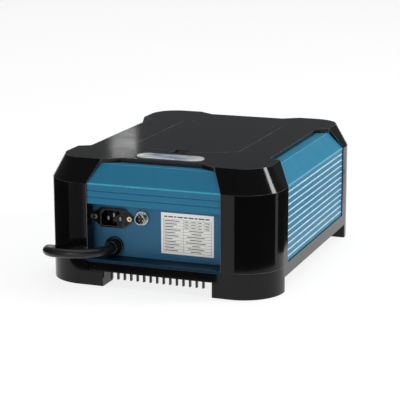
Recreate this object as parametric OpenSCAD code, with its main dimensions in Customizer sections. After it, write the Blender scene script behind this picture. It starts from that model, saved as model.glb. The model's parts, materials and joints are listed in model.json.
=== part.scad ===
// Power and control unit of a salt chlorine generator, for a swimming pool.
// Origin: centre of the footprint, on the surface that the unit stands on.
// +X right and +Z up when the connector bay is faced; +Y away from the bay. Millimetres.

/* [Body] */
// Overall width, across the connector end
body_w = 262; // [250:1:280]
// Overall length, from the connector end to the far end
body_l = 332; // [320:1:350]
// Height of the top cover's face above the surface
body_h = 137; // [130:1:145]
// Plan radius of the four corner pillars
corner_r = 45; // [40:1:50]
// Wall thickness of the plastic mouldings
wall = 3; // [2.5:0.5:4]

/* [Top cover] */
// Height where the slope of the pillars starts
slope_z = 112; // [105:1:116]
// How far the slope leans in, from its foot to the top face
slope_run = 14; // [10:1:18]
// Height of the seam between the base and the top cover
seam_z = 28.5; // [26:0.5:30]
// Height of the lip that hangs over each panel's ledge
lip_h = 5; // [4:0.5:6]
// How far the top face is set back over the end panels
end_edge = 26; // [22:1:30]
// How far the top face is set back over the side panels
side_edge = 27; // [22:1:30]

/* [Panels] */
// Half width of the gap between the pillars at the ends, below the slope
end_half = 75.5; // [70:0.5:80]
// The same half width at the top face
end_half_top = 63.5; // [58:0.5:68]
// Half length of the gap between the pillars at the sides, below the slope
side_half = 109; // [100:1:115]
// The same half length at the top face
side_half_top = 95; // [88:1:100]
// How far a panel's face lies behind the pillars' faces
panel_recess = 1.2; // [0.8:0.1:2]
// Sheet thickness of the ribbed panels
panel_t = 2.5; // [2:0.25:3]
// Distance from one rib to the next
rib_pitch = 7; // [6.5:0.25:7.5]
// Height of the lower edge of the hood over the connector bay
visor_z = 90.6; // [86:0.2:96]
// How far the connector panel lies behind the end face
bay_depth = 22; // [18:1:26]

/* [Base] */
// Height of the underside between the feet
belly_z = 16.5; // [14:0.5:18]
// Thickness of the floor plate
floor_t = 3; // [2.5:0.5:4]
// Distance from the centre to the inner side of the left feet
foot_left = 58; // [54:1:68]
// Distance from the centre to the inner side of the right feet
foot_right = 66; // [60:1:70]
// Distance from the centre to a foot's inner side, along the sides
foot_y = 119; // [112:1:124]

/* [Heat sink] */
// Number of cooling fins
fin_count = 15; // [9:2:15]
// Distance from one fin to the next
fin_pitch = 7.5; // [7:0.25:7.5]
// Thickness of a fin
fin_t = 1.8; // [1.2:0.2:2.4]
// Height of the fins' tips above the surface
fin_tip_z = 6.5; // [4:0.5:9]
// Length of the short front row of fins
fin_front = 3.5; // [3:0.5:10]
// Length of the open gap behind that row
fin_gap = 58; // [40:1:70]

/* [Door] */
// Half width of the door over the controls
door_half = 61.5; // [60:0.5:62]
// Door thickness
door_t = 3.2; // [3:0.1:3.4]
// Position of the middle of the door's front edge along the unit
door_front = -87; // [-88:0.5:-84]
// Radius of the door's bowed front edge
door_bow = 100; // [98:1:110]
// Gap round the door
door_gap = 0.4; // [0.3:0.1:0.6]

/* [Controls] */
// Radius of a key's cap
key_r = 5.5; // [5:0.25:6]
// How far a key goes down
key_travel = 1; // [0.6:0.1:1.2]
// Distance from one key to the next
key_pitch = 20; // [18:0.5:21]

/* [Connectors] */
// Position of the mains inlet across the bay
inlet_x = -54.5; // [-57:0.5:-50]
// Height of the mains inlet
inlet_z = 72; // [70:0.5:76]
// Position of the round socket across the bay
round_x = -20.5; // [-24:0.5:-10]
// Height of the round socket
round_z = 74; // [70:0.5:76]
// Radius of the round socket's thread
thread_r = 6; // [6:0.5:8]
// Position of the cable gland across the bay
gland_x = -53; // [-56:0.5:-50]
// Height of the cable gland
gland_z = 41; // [41:0.5:44]

/* [Cell cable] */
// Diameter of the cell cable
cable_d = 10; // [8:0.5:10]
// Middle radius of the stored coil
coil_r = 55; // [50:1:60]

/* [Hidden] */
$fn = 72;
half_w = body_w / 2;
half_l = body_l / 2;
lip_z = body_h - lip_h;
plate_z = body_h - wall;
floor_z = belly_z + 4;
deck_z = floor_z + floor_t;
crease_in = 15.7;              // plane of a panel's crease, behind the outer face
ledge_in = 33;                 // inner end of a panel's ledge
fit = 0.2;                     // assembly gap round a panel
slack = 1;                     // overshoot of cutting shapes
foot_z = 0.6;                  // the pads stand this much proud of the feet
boss_x = 98;                   // the four screws that join the base and the cover
boss_y = 133;
bay_y = -half_l + bay_depth;   // front face of the connector panel
sheet_t = 1.5;                 // its sheet
sheet_half = 82;               // it reaches behind the return walls of the pillars
flange_z = seam_z + sheet_t;   // top of its foot flange
flange_drop = 3.3;             // and the lip that the flange ends in
return_deep = 15;              // depth of the return walls beside the bay

// Door and well
hinge_r = 2.4;
hinge_y = 88.6;
hinge_z = body_h - hinge_r;
pin_r = 1;
pin_gap = 0.05;
hinge_half = 50;
door_back = 83.6;
back_gap = 1;                  // gap behind the door's shoulders, which swing through it
notch_x = 2.5;                 // the notch and the badge are a little off centre
notch_half = 9.5;
notch_deep = 10;
scoop_deep = 6;
scoop_t = 1.6;                 // depth of the thumb scoop in the door
seal_t = 1;
rest_z = body_h - door_t - seal_t;
well_z = 126;
well_t = 2;
well_half = 57;
well_front = -68;
well_back = 80.5;
board_z = 112;
key_row_y = -46;
key_top = 2.5;
stem_r = 2;
switch_top = 3.6;              // height of a key's switch above the board
display_y = 20;

// Electronics
pcb_t = 1.6;
power_z = 35;

// Cell cable: a route on the floor round the unit, then the stored coil
cable_r = cable_d / 2;
coil_x = -60;
coil_y = 240;
CABLE_ROUTE = [
    [-53, -128, 41], [-53, -142, 41], [-53, -156, 41], [-56, -171, 41], [-65.5, -183, 41], [-79, -190, 40.8],
    [-94, -190.5, 40], [-108, -185, 38.5], [-119, -173.5, 36], [-127, -158, 33], [-133, -142, 29],
    [-137, -125, 24], [-138, -107, 18.5], [-139, -88, 13], [-141, -68, 8.5], [-143, -46, 6], [-145, -22, 5],
    [-146, 8, 5], [-146, 38, 5], [-145, 70, 5], [-145, 102, 5], [-144, 132, 5], [-139, 154, 5],
    [-127, 171, 5], [-110, 179, 5], [-88, 180, 5]
];
TAIL_ROUTE = [
    [-34, 180, 15], [-16, 180, 14], [0, 181, 11], [12, 182, 9.5], [24, 183, 11], [36, 184, 13], [48, 184, 13]
];
PLUG_AT = [48, 184, 13];

// ---------- Shared shapes ----------

module rounded_plan(w, l, r) {
    square([w, l - 2 * r], center = true);
    square([w - 2 * r, l], center = true);
    for (x = [-1, 1], y = [-1, 1])
        translate([x * (w / 2 - r), y * (l / 2 - r)]) circle(r);
}

module rounded_slab(w, l, r, z0, z1) {
    translate([0, 0, z0]) linear_extrude(z1 - z0) rounded_plan(w, l, r);
}

// A straight bar along Y whose two long sides lean in by run
module leaning_bar(w, len, run, z0, z1) {
    rotate([90, 0, 0]) linear_extrude(len, center = true)
        polygon([[-w / 2, z0], [w / 2, z0], [w / 2 - run, z1], [-w / 2 + run, z1]]);
}

module sloped_slab(w, l, r, run, z0, z1) {
    leaning_bar(w, l - 2 * r, run, z0, z1);
    rotate(90) leaning_bar(l, w - 2 * r, run, z0, z1);
    for (x = [-1, 1], y = [-1, 1])
        translate([x * (w / 2 - r), y * (l / 2 - r), z0]) cylinder(r1 = r, r2 = r - run, h = z1 - z0);
}

module box(x0, x1, y0, y1, z0, z1) {
    translate([x0, y0, z0]) cube([x1 - x0, y1 - y0, z1 - z0]);
}

module four(x, y) {
    for (i = [-1, 1], j = [-1, 1]) translate([i * x, j * y, 0]) children();
}

// Child geometry on the connector panel: its Z points out of the bay
module on_panel(x, z) {
    translate([x, bay_y, z]) rotate([90, 0, 0]) children();
}

function unit3(v) = v / norm(v);
function heading(p, i) =
    unit3(p[min(i + 1, len(p) - 1)] - p[max(i - 1, 0)]);
function side_of(t) = abs(t.z) > 0.95 ? unit3(cross(t, [1, 0, 0])) : unit3(cross(t, [0, 0, 1]));
function ring(p, i, r, n) =
    let (t = heading(p, i), a = side_of(t), b = cross(t, a))
    [for (k = [0 : n - 1]) p[i] + r * (cos(360 * k / n) * a + sin(360 * k / n) * b)];

// A round tube through the points of a route
module tube(p, r, n = 10) {
    last = (len(p) - 1) * n;
    points = [for (i = [0 : len(p) - 1]) each ring(p, i, r, n)];
    walls = [for (i = [0 : len(p) - 2], k = [0 : n - 1])
        let (a = i * n + k, b = i * n + (k + 1) % n)
        each [[a, b, a + n], [b, b + n, a + n]]];
    polyhedron(points, concat(walls, [[for (k = [n - 1 : -1 : 0]) k], [for (k = [0 : n - 1]) last + k]]));
}

// ---------- The gap between two pillars ----------

// Half width of the gap at height z
function gap_half(half, top, z) = half - (half - top) * max(0, z - slope_z) / (body_h - slope_z);

// The gap as a prism that reaches deep behind the outer face; grow widens it
module gap_prism(half, top, out, deep, z0, z1, grow = 0) {
    wide = gap_half(half, top, z1) + grow;
    translate([0, -out + deep, 0]) rotate([90, 0, 0]) linear_extrude(deep + 5)
        polygon([[-half - grow, z0], [half + grow, z0], [half + grow, slope_z], [wide, z1], [-wide, z1],
                 [-half - grow, slope_z]]);
}

// All that a panel and its ledge need cut out of the cover
module panel_pocket(half, top, out, edge, taper) {
    straight = top - taper;
    gap_prism(half, top, out, edge, seam_z - slack, lip_z);
    gap_prism(half, top, out, slope_run, seam_z - slack, body_h + slack);
    translate([0, 0, lip_z - 0.01]) linear_extrude(lip_h + slack)
        polygon([[-straight, edge - out], [straight, edge - out], [top, slope_run - out], [top, -out - 5],
                 [-top, -out - 5], [-top, slope_run - out]]);
}

// The return walls beside a pocket, and the lip over it
module pocket_frame(half, top, out, edge) {
    difference() {
        gap_prism(half, top, out, edge + wall, seam_z - slack, body_h + slack, wall);
        gap_prism(half, top, out, edge + 10, seam_z - 2 * slack, lip_z);
    }
}

module at_four_sides() {
    for (a = [0, 180]) {
        rotate(a) children(0);
        rotate(a + 90) children(1);
    }
}

// ---------- Housing ----------

module foot_plan(inner, inset) {
    polygon([[inner + inset, half_l + 5], [inner + inset, 140 + inset * 0.4],
             [inner + 24 + inset * 0.6, foot_y + inset], [half_w + 5, foot_y + inset],
             [half_w + 5, half_l + 5]]);
}

module feet(inset, z0, z1) {
    intersection() {
        rounded_slab(body_w - 2 * inset, body_l - 2 * inset, corner_r - inset, z0, z1);
        for (x = [0, 1], y = [0, 1])
            mirror([x, 0, 0]) mirror([0, y, 0])
                translate([0, 0, z0]) linear_extrude(z1 - z0) foot_plan(x == 0 ? foot_right : foot_left, inset);
    }
}

// Four hollow feet, closed below and open to the tray
module corner_feet() {
    color([0.16, 0.16, 0.17]) difference() {
        union() {
            difference() {
                feet(0, foot_z, belly_z);
                feet(wall, foot_z + wall, belly_z + slack);
            }
            four(boss_x, boss_y) translate([0, 0, foot_z + 1]) cylinder(r = 6, h = belly_z - foot_z - 1);
        }
        screw_bores();
        four(78, 152) translate([0, 0, foot_z - slack]) cylinder(r = 7.2, h = 2 + slack);
    }
}

module base_tray() {
    rail_z = seam_z + 1.8;
    w = body_w - 2 * wall;
    l = body_l - 2 * wall;
    color([0.16, 0.16, 0.17]) {
        difference() {
            union() {
                difference() {
                    rounded_slab(body_w, body_l, corner_r, belly_z, seam_z);
                    rounded_slab(w, l, corner_r - wall, deck_z, seam_z + slack);
                    // The floor is recessed between the feet, for the heat sink
                    difference() {
                        rounded_slab(w, l, corner_r - wall, belly_z - slack, floor_z);
                        feet(0, belly_z - 2 * slack, floor_z + slack);
                    }
                }
                // Rails under the side panels and the rear panel
                for (x = [-half_w, half_w - wall])
                    box(x, x + wall, -side_half + fit, side_half - fit, seam_z - slack, rail_z);
                box(-end_half + fit, end_half - fit, half_l - wall, half_l, seam_z - slack, rail_z);
            }
            // The front band is set back, and the heat sink's pad comes through the floor
            box(-end_half, end_half, -half_l - slack, -half_l + sheet_t, belly_z - slack, seam_z + slack);
            box(-50.3, 50.3, -132.3, -111.7, floor_z - slack, deck_z + slack);
            screw_bores();
            heat_sink_holes(1.2);
        }
        difference() {
            four(boss_x, boss_y) translate([0, 0, belly_z]) cylinder(r = 6, h = seam_z - belly_z);
            screw_bores();
        }
    }
}

// Through holes and counterbores for the screws that join the base and the cover
module screw_bores() {
    four(boss_x, boss_y) {
        translate([0, 0, -slack]) cylinder(r = 1.75, h = 40);
        translate([0, 0, -slack]) cylinder(r = 3.6, h = 14 + slack);
    }
}

module foot_pads() {
    color([0.1, 0.1, 0.1]) four(78, 152) cylinder(r = 7, h = foot_z + 2);
}

module housing_screws() {
    color("silver") {
        four(boss_x, boss_y) {
            translate([0, 0, 11]) difference() {
                cylinder(r = 3.2, h = 3);
                translate([0, 0, -slack]) cylinder(r = 1.5, h = 1.5 + slack, $fn = 6);
            }
            translate([0, 0, 14]) cylinder(r = 1.5, h = 32);
        }
        heat_sink_screw_places() {
            translate([0, 0, belly_z - 2]) cylinder(r = 2.7, h = 2);
            translate([0, 0, belly_z]) cylinder(r = 1.2, h = deck_z - belly_z + 0.5);
        }
    }
}

module cover_outside() {
    rounded_slab(body_w, body_l, corner_r, seam_z, slope_z);
    sloped_slab(body_w, body_l, corner_r, slope_run, slope_z, body_h);
}

module cover_inside() {
    run = slope_run * (plate_z - slope_z) / (body_h - slope_z);
    w = body_w - 2 * wall;
    l = body_l - 2 * wall;
    rounded_slab(w, l, corner_r - wall, seam_z - slack, slope_z);
    sloped_slab(w, l, corner_r - wall, run, slope_z, plate_z);
}

// The door's outline, or the hole that it closes when grow is the gap round it
module door_plan(grow) {
    h = door_half + grow;
    f = door_front - grow;
    n = hinge_half + grow;
    intersection() {
        union() {
            translate([-h, f]) square([2 * h, door_back + grow - f]);
            translate([-n, 0]) square([2 * n, hinge_y + hinge_r + grow]);
        }
        translate([0, door_front + door_bow]) circle(door_bow + grow, $fn = 180);
    }
}

module top_cover() {
    color([0.13, 0.13, 0.14]) difference() {
        union() {
            difference() {
                cover_outside();
                difference() {
                    cover_inside();
                    at_four_sides() {
                        pocket_frame(end_half, end_half_top, half_l, end_edge);
                        pocket_frame(side_half, side_half_top, half_w, side_edge);
                    }
                }
                at_four_sides() {
                    panel_pocket(end_half, end_half_top, half_l, end_edge, 18);
                    panel_pocket(side_half, side_half_top, half_w, side_edge, 7.5);
                }
            }
            four(boss_x, boss_y) translate([0, 0, seam_z]) cylinder(r = 4.5, h = plate_z - seam_z + 1);
            // Hinge lugs and the gutter under the hinge
            box(-60, 60, 84.8, 92.6, 130.4, plate_z + 1);
        }
        // The return walls beside the bay stop short of the connector panel
        box(-end_half - wall - slack, end_half + wall + slack, -half_l + return_deep, -half_l + end_edge + wall + slack,
            seam_z - slack, visor_z);
        translate([0, 0, plate_z - slack]) linear_extrude(wall + 2 * slack) door_plan(door_gap);
        box(-door_half - door_gap, door_half + door_gap, door_back, door_back + back_gap,
            plate_z - slack, body_h + slack);
        box(notch_x - notch_half, notch_x + notch_half, door_front - notch_deep, door_front + slack,
            plate_z - slack, body_h + slack);
        // The hinge's barrel and pins
        box(-hinge_half - door_gap, hinge_half + door_gap, 84.8 - slack, hinge_y + hinge_r + door_gap,
            hinge_z - hinge_r - 0.3, body_h + slack);
        translate([-58, hinge_y, hinge_z]) rotate([0, 90, 0]) cylinder(r = pin_r, h = 116);
        // A chamfer that lets the open door lean back
        translate([0, hinge_y + hinge_r + door_gap, body_h]) rotate([45, 0, 0])
            cube([2 * hinge_half + door_gap, 1.8, 1.8], center = true);
        four(boss_x, boss_y) translate([0, 0, seam_z - slack]) cylinder(r = 1.5, h = 20 + slack);
    }
}

// A ribbed panel in profile, from its lower edge to its ledge. x is the distance behind the outer face.
module panel_profile(z0, first, count) {
    a = panel_recess;
    b = a + panel_t;
    slope = (crease_in - a) / (lip_z - slope_z);
    back = panel_t * (sqrt(1 + slope * slope) - slope);
    ribs = [for (i = [count - 1 : -1 : 0]) let (z = first - i * rib_pitch)
        each [[a, z - 1.1], [a + 1, z - 0.1], [a + 1, z + 0.7], [a, z + 0.8]]];
    polygon(concat([[b, z0], [a, z0]], ribs,
        [[a, slope_z], [crease_in, lip_z], [ledge_in, lip_z], [ledge_in, lip_z - panel_t],
         [crease_in + back, lip_z - panel_t], [b, slope_z - back * 0.6]]));
}

// The panel between two pillars, at the end that faces -Y
module ribbed_panel(half, top, out, z0, first, count) {
    intersection() {
        translate([0, -out, 0]) rotate([90, 0, 90]) linear_extrude(2 * half, center = true)
            panel_profile(z0, first, count);
        gap_prism(half, top, out, 60, z0 - slack, lip_z, -fit);
    }
}

module side_panel() {
    rail_z = seam_z + 1.8;
    ribbed_panel(side_half, side_half_top, half_w, rail_z, slope_z - 6, 11);
}

module side_panel_right() {
    color([0.29, 0.6, 0.74]) rotate(90) side_panel();
}

module side_panel_left() {
    color([0.29, 0.6, 0.74]) rotate(-90) side_panel();
}

module rear_panel() {
    color([0.29, 0.6, 0.74]) rotate(180)
        ribbed_panel(end_half, end_half_top, half_l, seam_z + 1.8, slope_z - 6, 11);
}

module front_visor() {
    color([0.18, 0.42, 0.55]) {
        ribbed_panel(end_half, end_half_top, half_l, visor_z, slope_z - 7.3, 2);
        box(-end_half + fit, end_half - fit, -half_l + panel_recess + panel_t, bay_y - fit,
            visor_z, visor_z + 2);
    }
}

module connector_panel() {
    color([0.24, 0.37, 0.49]) difference() {
        union() {
            box(-sheet_half, sheet_half, bay_y, bay_y + sheet_t, seam_z, visor_z - slack);
            intersection() {
                box(-sheet_half, sheet_half, bay_y, bay_y + sheet_t, seam_z, lip_z - panel_t - 1);
                gap_prism(end_half, end_half_top, half_l, 60, seam_z - slack, lip_z, -fit);
            }
            box(-end_half + fit, end_half - fit, -half_l, bay_y + slack, seam_z, flange_z);
            box(-end_half + fit, end_half - fit, -half_l, -half_l + sheet_t, flange_z - flange_drop, flange_z);
        }
        on_panel(inlet_x, inlet_z) {
            translate([-13.5, -10, -5]) cube([27, 20, 10]);
            for (x = [-20, 20]) translate([x, 0, -5]) cylinder(r = 1.6, h = 10);
        }
        on_panel(round_x, round_z) translate([0, 0, -5]) cylinder(r = thread_r, h = 10);
        on_panel(gland_x, gland_z) translate([0, 0, -5]) cylinder(r = 8, h = 10);
    }
}

module rating_label() {
    color([0.82, 0.81, 0.78]) box(1, 60.5, bay_y - 0.3, bay_y, 37.5, 82.5);
}

module badge() {
    color([0.8, 0.83, 0.86]) translate([notch_x, -120, body_h]) linear_extrude(0.8) {
        square([52, 24], center = true);
        for (x = [-26, 26]) translate([x, 0]) circle(12);
    }
}

// ---------- Heat sink ----------

module heat_sink() {
    plate_half = (fin_count - 1) / 2 * fin_pitch + 5;
    color([0.12, 0.12, 0.13]) difference() {
        union() {
            box(-plate_half, plate_half, -156, 156, belly_z, floor_z);
            box(-50, 50, -132, -112, floor_z, deck_z + 1.5);
            for (i = [0 : fin_count - 1]) translate([(i - (fin_count - 1) / 2) * fin_pitch - fin_t / 2, 0, 0]) {
                box(0, fin_t, -156, -156 + fin_front, fin_tip_z, belly_z);
                box(0, fin_t, -156 + fin_front + fin_gap, 156, fin_tip_z, belly_z);
            }
        }
        heat_sink_holes(1.75);
        for (x = [-30, -10, 10, 30]) translate([x, -119, floor_z]) cylinder(r = 1.25, h = 10);
    }
}

module heat_sink_screw_places() {
    for (x = [-3.5, 3.5], y = [-146, 0, 146]) translate([x * fin_pitch, y, 0]) children();
}

module heat_sink_holes(r) {
    heat_sink_screw_places() translate([0, 0, belly_z - slack]) cylinder(r = r, h = 12);
}

// ---------- Door and controls ----------

module door() {
    color([0.13, 0.13, 0.14]) difference() {
        union() {
            translate([0, 0, body_h - door_t]) linear_extrude(door_t) difference() {
                door_plan(0);
                translate([-hinge_half - 1, hinge_y]) square([2 * hinge_half + 2, 10]);
            }
            translate([-hinge_half, hinge_y, hinge_z]) rotate([0, 90, 0]) cylinder(r = hinge_r, h = 2 * hinge_half);
        }
        // Thumb scoop, behind the notch in the cover
        box(notch_x - notch_half, notch_x + notch_half, door_front - slack, door_front + scoop_deep,
            body_h - scoop_t, body_h + slack);
        for (x = [-hinge_half - slack, hinge_half - 8])
            translate([x, hinge_y, hinge_z]) rotate([0, 90, 0]) cylinder(r = pin_r + pin_gap, h = 8 + slack);
        for (x = [-40, 40]) translate([x, -73, body_h - door_t - slack]) cylinder(r = 3, h = 1.2 + slack);
    }
}

module door_hinge_pins() {
    color("silver") for (x = [-58, hinge_half - 7.8])
        translate([x, hinge_y, hinge_z]) rotate([0, 90, 0]) cylinder(r = pin_r, h = 15.8);
}

module door_seal() {
    color([0.07, 0.07, 0.07]) translate([0, 0, rest_z]) linear_extrude(seal_t) difference() {
        door_plan(-1);
        translate([-90, door_back - 1]) square([180, 20]);
        translate([-well_half, well_front]) square([2 * well_half, well_back - well_front]);
    }
}

module door_magnets() {
    color("silver") for (x = [-40, 40])
        translate([x, -73, body_h - door_t]) cylinder(r = 3, h = 1.2);
}

module control_bezel() {
    color([0.2, 0.21, 0.22]) difference() {
        union() {
            box(-66, 66, door_front - 4, 84, rest_z - 1.5, plate_z);
            box(-14, 18, door_front - 14, door_front, rest_z - 1.5, plate_z);
            box(-well_half - 2, well_half + 2, well_front - 2, well_back + 2, well_z - well_t, rest_z);
            for (x = [-50, 50], y = [-60, 72])
                translate([x, y, board_z + pcb_t]) cylinder(r = 3.5, h = well_z - well_t - board_z - pcb_t);
        }
        // The well, the seat of the seal and the finger notch
        box(-well_half, well_half, well_front, well_back, well_z, plate_z + slack);
        translate([0, 0, rest_z]) linear_extrude(5) difference() {
            door_plan(door_gap);
            translate([-90, 84]) square([180, 20]);
        }
        box(notch_x - notch_half, notch_x + notch_half, door_front - notch_deep, door_front + slack,
            rest_z, plate_z + slack);
        // Openings for the keys, the lamps and the display
        for (i = [-2 : 2]) translate([i * key_pitch, key_row_y, well_z - 5]) cylinder(r = key_r + 0.15, h = 10);
        for (i = [-1 : 1]) translate([i * 12, -22, well_z - 5]) cylinder(r = 1.6, h = 10);
        box(-34, 34, display_y - 18, display_y + 22, well_z - 5, well_z + 5);
        for (x = [-50, 50], y = [-60, 72]) translate([x, y, board_z]) cylinder(r = 1.2, h = 10);
    }
}

module control_overlay() {
    color([0.72, 0.75, 0.78]) difference() {
        box(-56, 56, well_front + 1, well_back - 1, well_z, well_z + 0.4);
        for (i = [-2 : 2]) translate([i * key_pitch, key_row_y, well_z - 1]) cylinder(r = key_r + 0.4, h = 3);
        for (i = [-1 : 1]) translate([i * 12, -22, well_z - 1]) cylinder(r = 1.9, h = 3);
        box(-37, 37, display_y - 21, display_y + 25, well_z - 1, well_z + 2);
    }
}

module display_frame() {
    color([0.1, 0.1, 0.11]) difference() {
        union() {
            box(-33.8, 33.8, display_y - 17.8, display_y + 21.8, board_z + pcb_t, well_z);
            box(-36.8, 36.8, display_y - 20.8, display_y + 24.8, well_z, well_z + 1.2);
        }
        box(-31, 31, display_y - 13, display_y + 17, well_z - 1.4, well_z + 3);
    }
}

module display_glass() {
    color([0.45, 0.6, 0.42]) box(-31, 31, display_y - 13, display_y + 17, well_z - 1.4, well_z + 0.6);
}

module key(i) {
    low = board_z + pcb_t + switch_top + key_travel + 0.2;
    translate([i * key_pitch, key_row_y, 0]) {
        translate([0, 0, well_z - well_t]) cylinder(r = key_r, h = well_t + key_top);
        translate([0, 0, well_z - well_t - 1]) cylinder(r = key_r + 1, h = 1);
        translate([0, 0, low]) cylinder(r = stem_r, h = well_z - well_t - 1 - low);
    }
}

module key_power() {
    color([0.75, 0.2, 0.16]) key(-2);
}

module key_menu() {
    color([0.85, 0.86, 0.87]) key(-1);
}

module key_down() {
    color([0.85, 0.86, 0.87]) key(0);
}

module key_up() {
    color([0.85, 0.86, 0.87]) key(1);
}

module key_ok() {
    color([0.25, 0.55, 0.3]) key(2);
}

module status_leds() {
    color([0.3, 0.8, 0.35]) for (i = [-1 : 1]) translate([i * 12, -22, 0]) {
        translate([0, 0, board_z + pcb_t]) cylinder(r = 2.5, h = 4);
        translate([0, 0, board_z + pcb_t + 4]) cylinder(r = 1.5, h = well_z - board_z - pcb_t - 3.2);
    }
}

module control_board() {
    color([0.08, 0.35, 0.18]) difference() {
        box(-56, 56, -66, 78, board_z, board_z + pcb_t);
        for (x = [-50, 50], y = [-60, 72]) translate([x, y, board_z - 1]) cylinder(r = 1.6, h = 4);
    }
    color([0.1, 0.1, 0.1]) {
        box(-46, -30, 52, 68, board_z - 1.8, board_z);
        box(-10, 10, -14, -6, board_z - 3, board_z);
    }
}

module key_switches() {
    color([0.15, 0.15, 0.16]) for (i = [-2 : 2]) translate([i * key_pitch, key_row_y, board_z + pcb_t]) {
        translate([-3, -3, 0]) cube([6, 6, 2.6]);
        cylinder(r = 1.7, h = switch_top);
    }
}

module control_screws() {
    color("silver") for (x = [-50, 50], y = [-60, 72]) translate([x, y, 0]) {
        translate([0, 0, board_z - 2]) cylinder(r = 2.6, h = 2);
        translate([0, 0, board_z]) cylinder(r = 1.2, h = 8);
    }
}

module ribbon_cable() {
    color([0.6, 0.6, 0.62]) {
        box(-9, 9, -28, -14, board_z - 2.4, board_z - 1.2);
        box(-9, 9, -29.2, -28, power_z + pcb_t + 6, board_z - 1.2);
        box(-9, 9, -29.2, -20, power_z + pcb_t + 4.8, power_z + pcb_t + 6);
        box(-11, 11, -22, -14, power_z + pcb_t, power_z + pcb_t + 4.8);
    }
}

// ---------- Connectors ----------

module inlet_mouth(z0, z1) {
    translate([0, 0, z0]) linear_extrude(z1 - z0)
        polygon([[-12.3, -8.4], [12.3, -8.4], [12.3, 3.9], [8, 8.4], [-8, 8.4], [-12.3, 3.9]]);
}

module blades(z0, z1, grow) {
    for (p = [[-7, -2], [7, -2], [0, 2]])
        translate([p.x - 1 - grow, p.y - 2 - grow, z0]) cube([2 + 2 * grow, 4 + 2 * grow, z1 - z0]);
}

module inlet_body() {
    color([0.14, 0.13, 0.13]) on_panel(inlet_x, inlet_z) difference() {
        union() {
            linear_extrude(2.5) {
                polygon([[-22, -3.6], [-14, -10.6], [14, -10.6], [22, -3.6], [22, 3.6], [14, 10.6], [-14, 10.6],
                         [-22, 3.6]]);
                for (x = [-20, 20]) translate([x, 0]) circle(4.2);
            }
            translate([-14, -10.6, 0]) cube([28, 21.2, 4]);
            translate([-13.4, -9.9, -19]) cube([26.8, 19.8, 19.5]);
        }
        inlet_mouth(-13, 10);
        blades(-25, 0, 0);
        for (x = [-20, 20]) translate([x, 0, -5]) cylinder(r = 1.6, h = 10);
    }
}

module inlet_pins() {
    color("silver") on_panel(inlet_x, inlet_z) {
        blades(-24, -3, 0);
        translate([-1, 0, -3]) cube([2, 4, 1]);
    }
}

module inlet_rivets() {
    color([0.85, 0.8, 0.7]) on_panel(inlet_x, inlet_z) for (x = [-20, 20]) translate([x, 0, 0]) difference() {
        union() {
            translate([0, 0, 2.5]) cylinder(r = 2.7, h = 0.8);
            translate([0, 0, -3]) cylinder(r = 1.6, h = 5.5);
            translate([0, 0, -sheet_t - 0.8]) cylinder(r = 2.4, h = 0.8);
        }
        translate([0, 0, -5]) cylinder(r = 1, h = 12);
    }
}

module socket_shell() {
    color([0.78, 0.78, 0.78]) on_panel(round_x, round_z) difference() {
        union() {
            translate([0, 0, -11]) cylinder(r = thread_r, h = 19.5);
            cylinder(r = 7.7, h = 2.2);
        }
        translate([0, 0, -12]) cylinder(r = thread_r - 1.2, h = 30);
        translate([-0.8, thread_r - 2, 3.5]) cube([1.6, 3, 8]);
    }
}

module socket_insert() {
    color([0.1, 0.1, 0.1]) on_panel(round_x, round_z) difference() {
        translate([0, 0, -10]) cylinder(r = thread_r - 1.2, h = 13);
        socket_pin_places() translate([0, 0, -11]) cylinder(r = 0.5, h = 20);
    }
}

module socket_pin_places() {
    for (a = [45 : 90 : 315]) rotate(a) translate([2.7, 0, 0]) children();
}

module socket_pins() {
    color([0.85, 0.75, 0.45]) on_panel(round_x, round_z)
        socket_pin_places() translate([0, 0, -14]) cylinder(r = 0.5, h = 18.8);
}

module socket_nut() {
    color("silver") on_panel(round_x, round_z) translate([0, 0, -sheet_t - 2.5]) difference() {
        cylinder(r = 8.6, h = 2.5, $fn = 6);
        translate([0, 0, -1]) cylinder(r = thread_r, h = 5);
    }
}

module on_gland() {
    on_panel(gland_x, gland_z) children();
}

module gland_body() {
    color([0.11, 0.11, 0.12]) on_gland() difference() {
        union() {
            translate([0, 0, -12]) cylinder(r = 8, h = 13);
            cylinder(r = 10.3, h = 3.5);
            translate([0, 0, 3]) cylinder(r = 7.4, h = 3);
        }
        translate([0, 0, -13]) cylinder(r = 5.4, h = 30);
        translate([0, 0, 4]) cylinder(r = 6.4, h = 5);
    }
}

module gland_seal() {
    color([0.05, 0.05, 0.05]) on_gland() translate([0, 0, 4]) difference() {
        cylinder(r = 6.4, h = 4);
        translate([0, 0, -1]) cylinder(r = 5.05, h = 10);
    }
}

module gland_cap() {
    color([0.11, 0.11, 0.12]) on_gland() difference() {
        union() {
            translate([0, 0, 3.7]) cylinder(r = 8.7, h = 4.8);
            translate([0, 0, 8.5]) cylinder(r1 = 8.7, r2 = 7.2, h = 2.5);
        }
        translate([0, 0, 3]) cylinder(r = 7.4, h = 3);
        translate([0, 0, 3]) cylinder(r = 6.4, h = 5);
        translate([0, 0, 3]) cylinder(r = 5.4, h = 20);
    }
}

module gland_locknut() {
    color([0.11, 0.11, 0.12]) on_gland() translate([0, 0, -sheet_t - 5]) difference() {
        cylinder(r = 11.5, h = 5, $fn = 6);
        translate([0, 0, -1]) cylinder(r = 8, h = 8);
    }
}

// ---------- Electronics ----------

module power_board() {
    color([0.1, 0.4, 0.2]) difference() {
        box(-90, 90, -106, 34, power_z, power_z + pcb_t);
        for (x = [-84, 84], y = [-100, 28]) translate([x, y, power_z - 1]) cylinder(r = 1.7, h = 4);
    }
}

module board_standoffs() {
    color([0.8, 0.7, 0.4]) for (x = [-84, 84], y = [-100, 28]) translate([x, y, deck_z]) difference() {
        cylinder(r = 3.6, h = power_z - deck_z, $fn = 6);
        translate([0, 0, 4]) cylinder(r = 1.5, h = 20);
    }
}

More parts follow.
